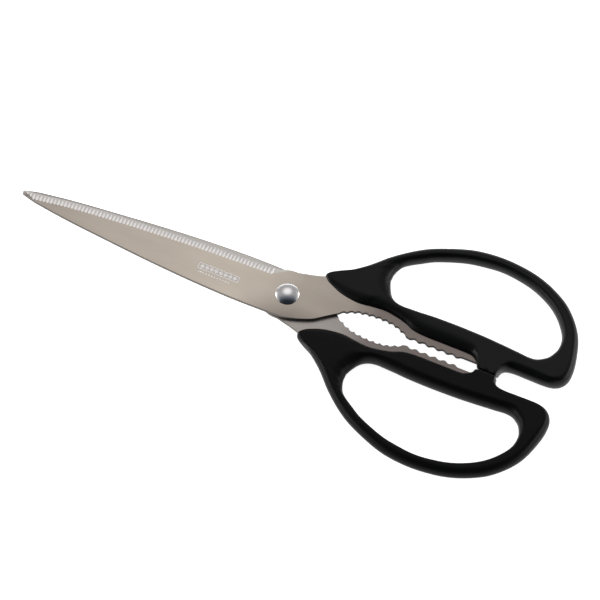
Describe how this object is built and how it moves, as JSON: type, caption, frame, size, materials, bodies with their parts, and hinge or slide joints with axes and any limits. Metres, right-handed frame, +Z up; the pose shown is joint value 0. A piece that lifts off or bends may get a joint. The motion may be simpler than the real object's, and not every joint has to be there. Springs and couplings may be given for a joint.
{
  "type": "household shears",
  "caption": "Household shears with long steel blades, a fine-serrated edge, a toothed jaw between the handles and two closed finger loops.",
  "frame": {"origin": "middle of the footprint, on the surface the handles lie on", "axes": "+X from the blade tip to the ends of the handles, +Y towards the front half's handle, +Z up out of the front blade's face, along the pivot"},
  "size_m": [0.2462, 0.1042, 0.0096],
  "materials": {
    "blade_steel": "satin stainless steel, ground lengthwise, faintly warm",
    "handle_plastic": "black moulded plastic, fine satin texture",
    "rivet_steel": "polished stainless steel"
  },
  "bodies": {
    "rear_half": {"rear_blade": "blade_steel", "rear_handle": "handle_plastic", "rivet_head": "rivet_steel", "rivet_pin": "rivet_steel", "pivot_washer": "rivet_steel"},
    "front_half": {"front_blade": "blade_steel", "front_handle": "handle_plastic"}
  },
  "joints": [
    {"name": "blade_pivot", "type": "hinge", "parent": "rear_half", "child": "front_half", "pos_m": [-0.00071, 0, 0.0048], "axis": [0, 0, 1], "range_deg": [0, 88]}
  ]
}
